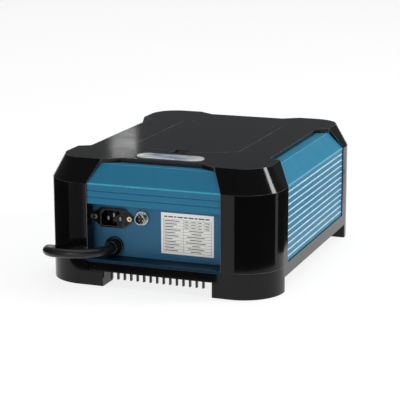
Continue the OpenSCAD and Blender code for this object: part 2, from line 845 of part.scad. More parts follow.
module board_screws() {
    color("silver") for (x = [-84, 84], y = [-100, 28]) translate([x, y, power_z]) {
        translate([0, 0, pcb_t]) cylinder(r = 2.8, h = 2);
        translate([0, 0, -6]) cylinder(r = 1.5, h = 6 + pcb_t);
    }
}

module toroid(r_in, r_out, z0, z1) {
    translate([0, 0, z0]) difference() {
        cylinder(r = r_out, h = z1 - z0);
        translate([0, 0, -1]) cylinder(r = r_in, h = z1 - z0 + 2);
    }
}

module transformer_core() {
    color([0.35, 0.35, 0.37]) translate([0, 92, 0]) toroid(21, 40, deck_z + 5, deck_z + 37);
}

module transformer_winding() {
    color([0.72, 0.36, 0.16]) translate([0, 92, 0]) difference() {
        toroid(16, 45, deck_z, deck_z + 42);
        toroid(21, 40, deck_z + 5, deck_z + 37);
    }
}

module transformer_clamp() {
    color("silver") translate([0, 92, deck_z]) {
        translate([0, 0, 42]) cylinder(r = 26, h = 2);
        cylinder(r = 3, h = 48);
        translate([0, 0, 44]) cylinder(r = 5.8, h = 4.5, $fn = 6);
    }
}

module filter_capacitors() {
    color([0.13, 0.15, 0.3]) for (i = [0 : 2])
        translate([-68, -44 + i * 28, power_z + pcb_t]) cylinder(r = 12.5, h = 42);
}

module power_transistors() {
    color([0.1, 0.1, 0.1]) for (x = [-30, -10, 10, 30]) difference() {
        box(x - 8, x + 8, -131, -112, deck_z + 1.5, deck_z + 6.5);
        translate([x, -119, deck_z]) cylinder(r = 1.8, h = 10);
    }
}

module relays() {
    color([0.12, 0.3, 0.6]) for (i = [0 : 2])
        box(40 + i * 16, 54 + i * 16, -66, -44, power_z + pcb_t, power_z + pcb_t + 16);
}

module terminal_block() {
    color([0.2, 0.5, 0.35]) difference() {
        box(-40, 40, -104, -92, power_z + pcb_t, power_z + pcb_t + 14);
        for (i = [0 : 7]) translate([-35 + i * 10, -98, power_z + pcb_t + 8]) cylinder(r = 3, h = 8);
    }
}

module fuse_holder() {
    z = power_z + pcb_t;
    color([0.75, 0.7, 0.55]) difference() {
        union() {
            box(44, 74, -88, -78, z, z + 3);
            box(45, 50, -88, -78, z + 3, z + 10);
            box(68, 73, -88, -78, z + 3, z + 10);
        }
        translate([40, -83, z + 7]) rotate([0, 90, 0]) cylinder(r = 2.6, h = 40);
        box(40, 80, -84.5, -81.5, z + 7, z + 12);
    }
}

module fuse() {
    color([0.8, 0.85, 0.88]) translate([46, -83, power_z + pcb_t + 7]) rotate([0, 90, 0]) cylinder(r = 2.6, h = 26);
}

module inner_wiring() {
    z = power_z + pcb_t + 9;
    for (i = [0 : 2]) color([[0.45, 0.25, 0.1], [0.15, 0.3, 0.7], [0.3, 0.6, 0.2]][i])
        tube([[-62 + 7 * i, -119, 71 + (i == 1 ? 4 : 0)], [-62 + 7 * i, -112, 70], [-58 + 8 * i, -104, 64],
              [-48 + 9 * i, -99, 57], [-35 + 10 * i, -98, 52], [-35 + 10 * i, -98, z]], 1.3, 8);
}

// ---------- Cell cable ----------

module cell_cable() {
    color([0.1, 0.1, 0.1]) tube(CABLE_ROUTE, cable_r);
}

module cell_cable_tail() {
    color([0.1, 0.1, 0.1]) tube(TAIL_ROUTE, cable_r);
}

// The outer shape of the stored turns, two wide and two high
module cell_cable_coil() {
    color([0.1, 0.1, 0.1]) translate([coil_x, coil_y, 0]) rotate_extrude()
        translate([coil_r - cable_d, 0]) square([2 * cable_d, 2 * cable_d]);
}

module cell_plug() {
    color([0.12, 0.12, 0.13]) translate(PLUG_AT) rotate([0, 90, 0]) difference() {
        union() {
            cylinder(r1 = 6.5, r2 = 9, h = 16);
            translate([0, 0, 16]) cylinder(r = 13, h = 26);
            translate([0, 0, 42]) cylinder(r = 11, h = 12);
        }
        translate([0, 0, 43]) cylinder(r = 9.5, h = 12);
    }
}

module cell_plug_contacts() {
    color([0.85, 0.75, 0.45]) translate(PLUG_AT) rotate([0, 90, 0])
        for (a = [90, 210, 330]) rotate(a) translate([5, 0, 43]) cylinder(r = 1.8, h = 5);
}

base_tray();
corner_feet();
top_cover();
side_panel_left();
side_panel_right();
front_visor();
rear_panel();
connector_panel();
heat_sink();
foot_pads();
housing_screws();
rating_label();
badge();
door();
door_hinge_pins();
door_seal();
door_magnets();
control_bezel();
control_overlay();
display_frame();
display_glass();
key_power();
key_menu();
key_down();
key_up();
key_ok();
status_leds();
control_board();
key_switches();
control_screws();
ribbon_cable();
inlet_body();
inlet_pins();
inlet_rivets();
socket_shell();
socket_insert();
socket_pins();
socket_nut();
gland_body();
gland_seal();
gland_cap();
gland_locknut();
power_board();
board_standoffs();
board_screws();
transformer_core();
transformer_winding();
transformer_clamp();
filter_capacitors();
power_transistors();
relays();
terminal_block();
fuse_holder();
fuse();
inner_wiring();
cell_cable();
cell_cable_coil();
cell_cable_tail();
cell_plug();
cell_plug_contacts();
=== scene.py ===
"""Looks of the power and control unit of a pool's salt chlorine generator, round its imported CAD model."""

import json
import math

import bmesh
import bpy
from mathutils import Matrix, Vector


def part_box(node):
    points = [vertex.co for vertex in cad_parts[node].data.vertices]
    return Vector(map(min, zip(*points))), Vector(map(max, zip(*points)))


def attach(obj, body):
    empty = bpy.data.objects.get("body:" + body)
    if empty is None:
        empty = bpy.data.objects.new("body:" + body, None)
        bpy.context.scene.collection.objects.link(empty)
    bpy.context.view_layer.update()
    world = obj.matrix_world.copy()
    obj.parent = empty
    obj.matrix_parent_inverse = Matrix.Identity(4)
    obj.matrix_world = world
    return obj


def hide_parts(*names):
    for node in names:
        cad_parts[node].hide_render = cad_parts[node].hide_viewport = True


MM = 0.001

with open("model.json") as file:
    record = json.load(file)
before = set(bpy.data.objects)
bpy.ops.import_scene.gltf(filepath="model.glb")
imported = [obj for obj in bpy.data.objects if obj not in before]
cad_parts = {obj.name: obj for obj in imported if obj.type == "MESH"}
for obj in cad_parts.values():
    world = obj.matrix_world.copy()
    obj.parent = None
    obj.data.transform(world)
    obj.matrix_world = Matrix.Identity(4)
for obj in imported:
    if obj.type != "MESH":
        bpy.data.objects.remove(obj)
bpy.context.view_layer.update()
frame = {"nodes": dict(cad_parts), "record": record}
nodes = frame["nodes"]
scene = bpy.context.scene


def link(name, data):
    made = bpy.data.objects.new(name, data)
    scene.collection.objects.link(made)
    return made


def span(node):
    """Lowest and highest corner of a CAD node, in millimetres."""
    low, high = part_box(node)
    return low / MM, high / MM


# ---------- Camera ----------

# Millimetres of the row frame
EYE = Vector((582.6, -1575.7, 463.7))
LOOK_AT = Vector((-7.9, -3.0, 63.1))
ROLL = math.radians(-0.19)
LENS = 135.15

camera_data = bpy.data.cameras.new("camera")
camera_data.sensor_width = 36
camera_data.lens = LENS
camera_data.clip_start = 0.05
camera_data.clip_end = 50
camera = link("camera", camera_data)
ahead = (LOOK_AT - EYE).normalized()
level = ahead.cross(Vector((0, 0, 1))).normalized()
upright = level.cross(ahead)
right = math.cos(ROLL) * level + math.sin(ROLL) * upright
top = right.cross(ahead)
camera.matrix_world = Matrix.Translation(EYE * MM) @ Matrix((right, top, -ahead)).transposed().to_4x4()
scene.camera = camera


# ---------- Mesh and curve helpers, all in millimetres of the row frame ----------

def mesh_piece(name, bm, body="housing", smooth=True):
    """An object from a bmesh, which it uses up."""
    bmesh.ops.recalc_face_normals(bm, faces=bm.faces)
    bmesh.ops.scale(bm, vec=(MM, MM, MM), verts=bm.verts)
    data = bpy.data.meshes.new(name)
    bm.to_mesh(data)
    bm.free()
    for face in data.polygons:
        face.use_smooth = smooth
    made = link(name, data)
    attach(made, body)
    return made


def curve_tube(name, points, radius):
    """A tube along points, as a curve of one spline.

    The knots' radius holds the tube's radius, because a curve's bounds count it too.
    """
    data = bpy.data.curves.new(name, "CURVE")
    data.dimensions = "3D"
    data.bevel_depth = 1
    data.bevel_resolution = 6
    data.use_fill_caps = True
    spline = data.splines.new("BEZIER")
    spline.bezier_points.add(len(points) - 1)
    for knot, point in zip(spline.bezier_points, points):
        knot.co = Vector(point) * MM
        knot.radius = radius * MM
        knot.handle_left_type = knot.handle_right_type = "AUTO"
    spline.resolution_u = 6
    return link(name, data)


def slab(bm, x0, x1, y0, y1, z0, z1):
    """Adds a flat bar between two values on each axis."""
    for vert in bmesh.ops.create_cube(bm, size=1)["verts"]:
        share = vert.co + Vector((0.5, 0.5, 0.5))
        vert.co = Vector((x0 + share.x * (x1 - x0), y0 + share.y * (y1 - y0), z0 + share.z * (z1 - z0)))


def turned_rings(bm, outline, centre, axis, sides):
    """A ring of vertices for each (distance along the axis, radius) pair of an outline."""
    axis = Vector(axis).normalized()
    side = axis.orthogonal().normalized()
    spokes = [Matrix.Rotation(2 * math.pi * k / sides, 3, axis) @ side for k in range(sides)]
    return [[bm.verts.new(Vector(centre) + axis * along + spoke * radius) for spoke in spokes]
            for along, radius in outline]


def join_rings(bm, first, second):
    """Adds the faces between two rings with as many vertices."""
    for k in range(len(first)):
        after = (k + 1) % len(first)
        bm.faces.new((first[k], first[after], second[after], second[k]))


def lathe(bm, outline, centre, axis, sides):
    """Adds a solid that is turned from an outline."""
    rings = turned_rings(bm, outline, centre, axis, sides)
    for first, second in zip(rings, rings[1:]):
        join_rings(bm, first, second)
    bm.faces.new(rings[0][::-1])
    bm.faces.new(rings[-1])


def ring_band(bm, centre, axis, r_in, r_out, low, high):
    """Adds a ring with a rectangular section."""
    outline = [(low, r_in), (low, r_out), (high, r_out), (high, r_in)]
    rings = turned_rings(bm, outline, centre, axis, 48)
    for first, second in zip(rings, rings[1:] + rings[:1]):
        join_rings(bm, first, second)


# ---------- Cell cable ----------

CABLE_D = 10
CABLE_LIE = CABLE_D / 2  # height of the cable's axis where it lies on the surface
COIL_CENTRE = Vector((-60, 240))
COIL_R = 55
TURNS = 4
TURN_POINTS = 24
CABLE_EXIT = (-53, -150, 41)

ROUTE = [
    (-53, -156, 41), (-56, -171, 41), (-65.5, -183, 41), (-79, -189.4, 40.8), (-94, -189.7, 40),
    (-108, -185, 38.5), (-119, -173.5, 36), (-127, -158, 33), (-133, -142, 29), (-137, -125, 24),
    (-138, -107, 18.5), (-139, -88, 13.2), (-141, -68, 9), (-143, -46, 6.4), (-144.9, -22, 5.3),
    (-145.9, 8, 5), (-145.9, 38, 5), (-145, 70, 5), (-145, 102, 5), (-144, 132, 5), (-139, 154, 5),
    (-127, 171, 5), (-110, 179, 5), (-88, 180, 5),
]
TAIL = [
    (-34, 180, 15), (-16, 180, 14), (0, 181, 11), (12, 182, 9.5), (24, 183, 11), (36, 184, 13), (48, 184, 13),
]


def coil_points():
    """Turns from the near side: outer and inner on the surface, then inner and outer on top of them."""
    outer, inner = COIL_R + CABLE_D / 2, COIL_R - CABLE_D / 2
    lower, upper = CABLE_LIE, 3 * CABLE_LIE
    stops = [(0, outer, lower), (0.9, outer, lower), (1.1, inner, lower), (1.85, inner, lower),
             (2.1, inner, upper), (2.9, inner, upper), (3.1, outer, upper), (TURNS, outer, upper)]
    points = []
    for i in range(TURNS * TURN_POINTS + 1):
        turn = i / TURN_POINTS
        for (t0, r0, z0), (t1, r1, z1) in zip(stops, stops[1:]):
            if turn <= t1:
                s = (turn - t0) / (t1 - t0)
                s = s * s * (3 - 2 * s)
                radius, height = r0 + (r1 - r0) * s, z0 + (z1 - z0) * s
                break
        angle = math.radians(-90) + turn * 2 * math.pi
        points.append((COIL_CENTRE.x + radius * math.cos(angle), COIL_CENTRE.y + radius * math.sin(angle),
                       height))
    return points


cable = curve_tube("cell_cable_run", [CABLE_EXIT] + ROUTE + coil_points()[1:-1] + TAIL, CABLE_D / 2)
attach(cable, "housing")
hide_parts("cell_cable", "cell_cable_coil", "cell_cable_tail")


# ---------- Materials ----------

class Shader:
    """A node material on object coordinates, which are metres of the row frame."""

    def __init__(self, name):
        self.material = bpy.data.materials.new(name)
        self.material.use_nodes = True
        self.tree = self.material.node_tree
        self.bsdf = self.tree.nodes["Principled BSDF"]
        self.at = self.tree.nodes.new("ShaderNodeTexCoord").outputs["Object"]

    def node(self, kind, inputs=(), **settings):
        made = self.tree.nodes.new("ShaderNode" + kind)
        for key, value in settings.items():
            setattr(made, key, value)
        for socket, value in dict(inputs).items():
            self.feed(made.inputs[socket], value)
        return made

    def feed(self, socket, value):
        if isinstance(value, bpy.types.NodeSocket):
            self.tree.links.new(value, socket)
        else:
            socket.default_value = value

    def set(self, **values):
        for key, value in values.items():
            self.feed(self.bsdf.inputs[key.replace("_", " ")], value)

    def noise(self, size, detail=2, stretch=(1, 1, 1)):
        """Noise with features of this size in millimetres, stretched along the axes."""
        scaled = self.node("VectorMath", {0: self.at, 1: [1 / (size * MM * s) for s in stretch]},
                           operation="MULTIPLY")
        made = self.node("TexNoise", {"Vector": scaled.outputs[0], "Scale": 1, "Detail": detail})
        return made.outputs["Fac"]

    def part(self, vector, name):
        """One component of a vector: X, Y or Z."""
        return self.node("SeparateXYZ", {0: vector}).outputs[name]

    def axis(self, name):
        return self.part(self.at, name)

    def rounded_normal(self, radius):
        """The normal as if edges had this radius in millimetres."""
        return self.node("Bevel", {"Radius": radius * MM}, samples=4).outputs["Normal"]

    def plain_normal(self):
        return self.node("NewGeometry").outputs["Normal"]

    def math(self, operation, *values):
        return self.node("Math", dict(enumerate(values)), operation=operation).outputs[0]

    def distance(self, value, middle):
        return self.math("ABSOLUTE", self.math("SUBTRACT", value, middle))

    def remap(self, value, low, high, start=0.3, stop=0.7):
        """Maps start to low and stop to high. A noise has most of its values from 0.3 to 0.7."""
        return self.node("MapRange", {0: value, 1: start, 2: stop, 3: low, 4: high}).outputs[0]

    def mix(self, factor, a, b):
        return self.node("Mix", {0: factor, 6: (*a, 1) if isinstance(a, tuple) else a,
                                 7: (*b, 1) if isinstance(b, tuple) else b}, data_type="RGBA").outputs[2]

    def edges(self, radius, low=0.02, high=0.3):
        """1 along the edges, 0 on the faces."""
        turn = self.node("VectorMath", {0: self.rounded_normal(radius), 1: self.plain_normal()},
                         operation="DOT_PRODUCT").outputs["Value"]
        return self.remap(turn, 1, 0, 1 - high, 1 - low)

    def bump(self, height, strength, depth):
        made = self.node("Bump", {"Height": height, "Strength": strength, "Distance": depth * MM})
        self.feed(self.bsdf.inputs["Normal"], made.outputs[0])

    def put(self, *targets):
        """Puts the material on pieces and on CAD nodes, which are given by name."""
        for target in targets:
            made = nodes[target] if isinstance(target, str) else target
            made.data.materials.clear()
            made.data.materials.append(self.material)


def shade(colour, k):
    return tuple(min(1.0, c * k) for c in colour)


def surface(name, base, rough, vary=0.2, size=40, grain=1.0, relief=0.1, stretch=(1, 1, 1), metallic=0.0,
            ior=1.45, coat=0.0, wear_and_highlight=None, edge=0.6):
    """A surface with colour drift, uneven gloss, a fine relief and, where a wear colour is given, rubbed
    edges.
    """
    s = Shader(name)
    drift = s.noise(size, 3, stretch)
    colour = s.mix(drift, shade(base, 1 - vary), shade(base, 1 + vary))
    fine = s.noise(grain, 2, stretch)
    gloss = s.math("ADD", s.remap(s.noise(size / 2, 4), -0.04, 0.05), s.remap(fine, rough, rough + 0.05))
    if wear_and_highlight:
        patchy = s.math("MULTIPLY", s.edges(edge), s.remap(s.noise(9, 3), 0.35, 1))
        colour = s.mix(patchy, colour, wear_and_highlight)
        gloss = s.math("ADD", gloss, s.math("MULTIPLY", patchy, 0.06))
    s.set(Base_Color=colour, Roughness=gloss, Metallic=metallic, IOR=ior, Coat_Weight=coat,
          Coat_Roughness=0.12)
    s.bump(fine, relief, 0.05)
    return s


# One surface for each of the record's material slots; the slots that need more are added below
SLOTS = {
    "heat_sink_black": surface("heat_sink_black", (0.018, 0.018, 0.02), 0.34, grain=0.5, stretch=(1, 60, 1),
                               metallic=0.5, wear_and_highlight=(0.07, 0.07, 0.075), edge=0.3),
    "steel": surface("steel", (0.55, 0.55, 0.56), 0.28, vary=0.12, size=6, grain=0.3, metallic=1.0),
    "bright_metal": surface("bright_metal", (0.46, 0.46, 0.47), 0.2, vary=0.08, size=5, grain=0.25,
                            relief=0.06, metallic=1.0, wear_and_highlight=(0.85, 0.85, 0.86), edge=0.25),
    "brass": surface("brass", (0.66, 0.56, 0.4), 0.3, vary=0.15, size=3, grain=0.25, metallic=1.0),
    "rubber_black": surface("rubber_black", (0.012, 0.012, 0.012), 0.66, vary=0.3, size=8, grain=0.35,
                            relief=0.3),
    "bezel_grey": surface("bezel_grey", (0.022, 0.024, 0.026), 0.5, size=30, grain=0.45, relief=0.45,
                          wear_and_highlight=(0.06, 0.06, 0.065)),
    "key_red": surface("key_red", (0.42, 0.03, 0.025), 0.48, vary=0.12, size=4, grain=0.3, relief=0.25,
                       wear_and_highlight=(0.55, 0.1, 0.08), edge=0.4),
    "key_white": surface("key_white", (0.58, 0.59, 0.6), 0.5, vary=0.06, size=4, grain=0.3, relief=0.25,
                         wear_and_highlight=(0.5, 0.49, 0.46), edge=0.4),
    "key_green": surface("key_green", (0.03, 0.22, 0.07), 0.48, vary=0.12, size=4, grain=0.3, relief=0.25,
                         wear_and_highlight=(0.1, 0.33, 0.14), edge=0.4),
    "lamp": surface("lamp", (0.1, 0.55, 0.16), 0.18, vary=0.1, size=2, grain=0.3, relief=0.05, coat=0.6),
    "board": surface("board", (0.012, 0.12, 0.045), 0.35, size=18, grain=0.6, relief=0.2, coat=0.3),
    "dark_part": surface("dark_part", (0.014, 0.014, 0.015), 0.34, size=10, grain=0.4, relief=0.2,
                         wear_and_highlight=(0.04, 0.04, 0.042), edge=0.3),
    "ribbon": surface("ribbon", (0.25, 0.25, 0.27), 0.5, size=10, grain=0.7, stretch=(1, 20, 20)),
    "ferrite": surface("ferrite", (0.06, 0.06, 0.07), 0.45, size=8, grain=0.5, relief=0.3),
    "copper": surface("copper", (0.5, 0.19, 0.07), 0.25, size=5, grain=0.9, relief=0.5, stretch=(1, 1, 20),
                      metallic=1.0),
    "capacitor": surface("capacitor", (0.015, 0.02, 0.09), 0.25, size=12, grain=0.5, relief=0.08, coat=0.4),
    "relay_blue": surface("relay_blue", (0.015, 0.06, 0.25), 0.3, size=8, grain=0.4, coat=0.2),
    "terminal_green": surface("terminal_green", (0.02, 0.16, 0.06), 0.36, size=8, grain=0.4, coat=0.2),
    "wiring": surface("wiring", (0.16, 0.07, 0.03), 0.42, size=6, grain=0.4),
    "cable_black": surface("cable_black", (0.0085, 0.0085, 0.009), 0.3, vary=0.35, size=30, grain=0.8,
                           relief=0.16, ior=1.42),
}


def moulded_black(name, wear_and_highlight):
    """Deep gloss with a faint orange-peel, haze, hairline scratches and, when asked for, paler edges that are
    a painted highlight.
    """
    s = Shader(name)
    haze = s.noise(55, 4)
    along = s.remap(s.noise(0.9, 2, (1, 34, 34)), 0, 1, 0.68, 0.74)
    across = s.remap(s.noise(1.1, 2, (38, 1.3, 30)), 0, 1, 0.69, 0.75)
    scratches = s.math("MAXIMUM", along, across)
    skin = s.mix(haze, (0.0022, 0.0022, 0.0024), (0.0042, 0.0042, 0.0045))
    gloss = s.math("ADD", s.remap(haze, 0.07, 0.13), s.math("MULTIPLY", scratches, 0.1))
    if wear_and_highlight:
        # Painted highlight along the edges, in patches, strongest on edges that face sideways
        sideways = s.math("ABSOLUTE", s.part(s.rounded_normal(0.9), "X"))
        weight = s.remap(sideways, 0.12, 1, 0.03, 0.2)
        edge_highlight = s.math("MULTIPLY", s.edges(0.9, 0.004, 0.12), weight)
        edge_highlight = s.math("MULTIPLY", edge_highlight, s.remap(s.noise(14, 3), 0.5, 1))
        skin = s.mix(edge_highlight, skin, (0.24, 0.24, 0.245))
        gloss = s.math("ADD", gloss, s.math("MULTIPLY", edge_highlight, 0.05))
    s.set(Base_Color=skin, Roughness=gloss, IOR=1.33)
    s.bump(s.math("ADD", s.noise(2.6, 2), s.math("MULTIPLY", scratches, -0.15)), 0.035, 0.05)
    return s


SLOTS["housing_black"] = moulded_black("housing_black", True)
base_black = moulded_black("base_black", False)

# Heights of the panels' two creases, with painted highlight lines, and the front plane of the lip under the
# bay, painted dark as shade
SLOPE_Z = 112
SHELF_Z = 132.8
LIP_Y = -163
GROOVE_HIGHLIGHT = (0.78, 0.9, 0.95)


def lacquer(name, base, lift, painted_highlight, groove_highlights=False, ledge_shade=None):
    """Lacquered sheet metal, drawn along its length, with painted highlight lines at the creases below and
    above its slope and along sharp edges.

    When asked for, the lower side of each groove below the slope gets a painted highlight. Where a ledge
    colour is given, it is painted shade on the faces that point up and on the lip.
    """
    s = Shader(name)
    drawn = s.noise(1.2, 3, (90, 90, 1))
    cloud = s.noise(70, 3)
    up = s.part(s.plain_normal(), "Z")
    height = s.math("DIVIDE", s.axis("Z"), MM)
    uneven = s.remap(s.noise(7, 3), 0.6, 1)
    colour = s.mix(cloud, shade(base, 0.9), shade(base, 1.1))
    colour = s.mix(s.remap(drawn, 0, 0.35), colour, lift)
    # Painted shade: faces that point up, and the lip in front of LIP_Y, take the darker ledge colour
    if ledge_shade:
        lip = s.remap(s.math("DIVIDE", s.axis("Y"), MM), 1, 0, LIP_Y, LIP_Y + 0.5)
        shaded = s.math("MAXIMUM", s.remap(up, 0, 1, 0.5, 0.95), lip)
        colour = s.mix(shaded, colour, ledge_shade)
    # Painted highlight lines at the crease below the slope, at the shelf above it, and along sharp edges
    foot = s.remap(s.distance(height, SLOPE_Z), 1, 0, 0.5, 1.1)
    head = s.remap(s.distance(height, SHELF_Z), 1, 0, 0.8, 1.4)
    head = s.math("MULTIPLY", head, s.remap(up, 1, 0, 0.9, 0.98))
    crease_highlight = s.math("MAXIMUM", s.math("MAXIMUM", foot, head), s.edges(0.6, 0.02, 0.2))
    colour = s.mix(s.math("MULTIPLY", s.math("MULTIPLY", crease_highlight, uneven), 0.75), colour, painted_highlight)
    # Painted highlight on the upward lower side of each groove below the slope
    if groove_highlights:
        below_slope = s.remap(height, 1, 0, SLOPE_Z - 3, SLOPE_Z - 2)
        groove_highlight = s.math("MULTIPLY", s.remap(up, 0, 1, 0.25, 0.45), below_slope)
        colour = s.mix(s.math("MULTIPLY", groove_highlight, uneven), colour, GROOVE_HIGHLIGHT)
    s.set(Base_Color=colour, Roughness=s.remap(s.noise(18, 4), 0.3, 0.42), IOR=1.22)
    s.bump(s.math("ADD", drawn, s.noise(0.6, 2)), 0.06, 0.05)
    return s


SLOTS["panel_blue"] = lacquer("panel_blue", (0.03, 0.205, 0.335), (0.04, 0.24, 0.395), (0.22, 0.55, 0.68),
                              groove_highlights=True)
SLOTS["panel_deep_blue"] = lacquer("panel_deep_blue", (0.036, 0.142, 0.258), (0.046, 0.165, 0.295),
                                   (0.06, 0.2, 0.33), ledge_shade=(0.003, 0.02, 0.04))
# A darker copy of the side panels' paint: painted shade for the front visor, which faces away from the key
# light
visor_blue_shaded = lacquer("visor_blue_shaded", (0.022, 0.16, 0.28), (0.03, 0.19, 0.325), (0.08, 0.48, 0.68))


def printed_film(name, tint, sheen):
    """Film with a fibrous grain, slightly darker along its edges."""
    s = Shader(name)
    fibre = s.noise(0.5, 3)
    tone = s.mix(s.noise(16, 3), shade(tint, 0.94), shade(tint, 1.05))
    darkened = s.math("MULTIPLY", s.edges(1.4), 0.5)
    s.set(Base_Color=s.mix(darkened, tone, shade(tint, 0.8)), Roughness=s.remap(fibre, sheen, sheen + 0.1))
    s.bump(fibre, 0.08, 0.03)
    return s


SLOTS["label"] = printed_film("label", (0.95, 0.935, 0.89), 0.5)
SLOTS["overlay"] = printed_film("overlay", (0.36, 0.4, 0.44), 0.42)

# The badge: silver ends, and soft pale-blue streaks between them
badge_low, badge_high = span("badge")
badge_centre = (badge_low + badge_high) / 2
badge_skin = Shader("badge")
streak = badge_skin.remap(badge_skin.noise(5, 3, (7, 1, 1)), 0, 1, 0.4, 0.62)
core = badge_skin.remap(badge_skin.distance(badge_skin.axis("X"), badge_centre.x * MM), 1, 0, 0.019, 0.031)
streaked = badge_skin.mix(streak, (0.7, 0.76, 0.82), (0.16, 0.3, 0.46))
badge_skin.set(Base_Color=badge_skin.mix(core, (0.84, 0.85, 0.86), streaked), Metallic=0.1,
               Roughness=badge_skin.remap(badge_skin.noise(3, 3), 0.14, 0.24), Coat_Weight=0.9,
               Coat_Roughness=0.05)
badge_skin.bump(badge_skin.noise(0.4, 2, (4, 1, 1)), 0.05, 0.03)
SLOTS["badge"] = badge_skin

# Display window: a green-grey ground with a fine cell grid under a clear coat
HALF_CELL = 0.35
window = Shader("display")
rows = window.math("PINGPONG", window.axis("Y"), HALF_CELL * MM)
columns = window.math("PINGPONG", window.axis("X"), HALF_CELL * MM)
grid = window.remap(window.math("MINIMUM", rows, columns), 1, 0, 0.02 * MM, 0.07 * MM)
lit = window.mix(window.noise(20, 2), (0.2, 0.31, 0.16), (0.25, 0.36, 0.2))
window.set(Base_Color=window.mix(window.math("MULTIPLY", grid, 0.3), lit, (0.12, 0.2, 0.1)),
           Roughness=window.remap(window.noise(4, 3), 0.1, 0.2), Coat_Weight=1.0, Coat_Roughness=0.04)
SLOTS["display"] = window

glass = Shader("fuse_glass")
glass.set(Base_Color=glass.mix(glass.noise(4, 2), (0.8, 0.85, 0.86), (0.88, 0.9, 0.9)),
          Roughness=glass.remap(glass.noise(2, 2), 0.04, 0.12), Transmission_Weight=0.85, IOR=1.5)
SLOTS["fuse_glass"] = glass

for entry in frame["record"]["subparts"]:
    SLOTS[entry["material_slot"]].put(entry["node"])
SLOTS["cable_black"].put(cable)
visor_blue_shaded.put("front_visor")
base_black.put("base_tray", "corner_feet")
surface("pin_metal", (0.26, 0.26, 0.27), 0.3, vary=0.1, size=3, grain=0.25, metallic=1.0).put("inlet_pins")

ink = surface("print_ink", (0.07, 0.072, 0.08), 0.5, vary=0.35, size=3, grain=0.4, relief=0.05)
pale_ink = surface("pale_print", (0.62, 0.64, 0.66), 0.45, vary=0.1, size=3, grain=0.4, relief=0.05)
fabric = surface("tie_fabric", (0.012, 0.012, 0.014), 0.8, vary=0.4, size=4, grain=0.35, relief=0.6)


# ---------- Rating label ----------

# Print is a thin solid, which stands proud of its sheet and reaches a little into it
PRINT_RISE = 0.05
PRINT_SINK = 0.02

ROWS = 11
SHORT_ROWS = 3  # rows at the table's head that have five cells, the others have two
COLUMN_SHARES = (0, 0.42, 0.56, 0.7, 0.85, 1)
LONG_COLUMNS = (0, 1, 5)
RULE_HALF = 0.11
DASH_HALF = 0.42
CELL_INSET = 1.2
HEADING_DASHES = (3.6, 5.4, 2.8, 6.1, 4.2, 5.8, 3.4, 6.4, 4.6)
HEADING_GAP = 1.1
LEFT_DASHES = (15, 11, 17, 13, 9, 16, 12, 18, 10, 14, 17)
RIGHT_STARTS = (8, 5, 10, 3, 7, 4, 9, 6)
RIGHT_DASHES = (12, 18, 9, 22, 14, 20, 11, 16)
CELL_DASHES = (4.5, 5.2, 4, 5)

label_low, label_high = span("rating_label")
table_left, table_right = label_low.x + 2.6, label_high.x - 2.6
table_top, table_bottom = label_high.z - 7, label_low.z + 2.4
row_h = (table_top - table_bottom) / ROWS
label_bm = bmesh.new()


def rule(x0, x1, z0, z1):
    slab(label_bm, x0, x1, label_low.y - PRINT_RISE, label_low.y + PRINT_SINK, z0, z1)


def column_x(share):
    return table_left + share * (table_right - table_left)


heading_x = table_left + 1
for width in HEADING_DASHES:
    rule(heading_x, heading_x + width, label_high.z - 4.9, label_high.z - 3.5)
    heading_x += width + HEADING_GAP
for k in range(ROWS + 1):
    z = table_bottom + k * row_h
    rule(table_left, table_right, z - RULE_HALF, z + RULE_HALF)
for k, share in enumerate(COLUMN_SHARES):
    x = column_x(share)
    foot_z = table_bottom if k in LONG_COLUMNS else table_top - SHORT_ROWS * row_h
    rule(x - RULE_HALF, x + RULE_HALF, foot_z, table_top)
for k, left_dash in enumerate(LEFT_DASHES):
    z = table_bottom + (k + 0.5) * row_h
    dashes = [(table_left + CELL_INSET, left_dash)]
    if k < ROWS - SHORT_ROWS:
        dashes.append((column_x(COLUMN_SHARES[1]) + RIGHT_STARTS[k], RIGHT_DASHES[k]))
    else:
        for share, dash in zip(COLUMN_SHARES[1:], CELL_DASHES):
            dashes.append((column_x(share) + CELL_INSET, dash))
    for x, dash in dashes:
        rule(x, x + dash, z - DASH_HALF, z + DASH_HALF)
ink.put(mesh_piece("label_ruling", label_bm, smooth=False))


# ---------- Badge, socket and inlet ----------

# The badge's domed lens in a raised rim, as (distance in from the outline, height) of each ring
DOME = ((0, 0), (0, 0.42), (0.25, 0.62), (0.9, 0.66), (1.2, 0.5), (1.7, 0.52), (3, 0.62), (5, 0.71),
        (8, 0.77), (11.2, 0.8))
END_SIDES = 20

dome_bm = bmesh.new()
half_x, half_y = (badge_high.x - badge_low.x) / 2, (badge_high.y - badge_low.y) / 2
dome_rings = []
for inset, height in DOME:
    radius = half_y - inset
    ring = []
    for end in (1, -1):
        for k in range(END_SIDES + 1):
            a = math.radians(-90 + 180 * k / END_SIDES)
            ring.append(dome_bm.verts.new((badge_centre.x + end * (half_x - half_y + radius * math.cos(a)),
                                           badge_centre.y + end * radius * math.sin(a),
                                           badge_low.z + height)))
    dome_rings.append(ring)
for first, second in zip(dome_rings, dome_rings[1:]):
    join_rings(dome_bm, first, second)
dome_bm.faces.new(dome_rings[0][::-1])
dome_bm.faces.new(dome_rings[-1])
dome = mesh_piece("badge_lens", dome_bm)
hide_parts("badge")
badge_skin.put(dome)

# Thread of the round socket
THREADS = 6
PITCH = 0.95
socket_low, socket_high = span("socket_shell")
socket_mouth = ((socket_low.x + socket_high.x) / 2, socket_low.y, (socket_low.z + socket_high.z) / 2)
thread_bm = bmesh.new()
for k in range(THREADS):
    ring_band(thread_bm, socket_mouth, (0, 1, 0), 5.9, 6.14, 0.7 + k * PITCH, 1.1 + k * PITCH)
SLOTS["bright_metal"].put(mesh_piece("socket_thread", thread_bm))

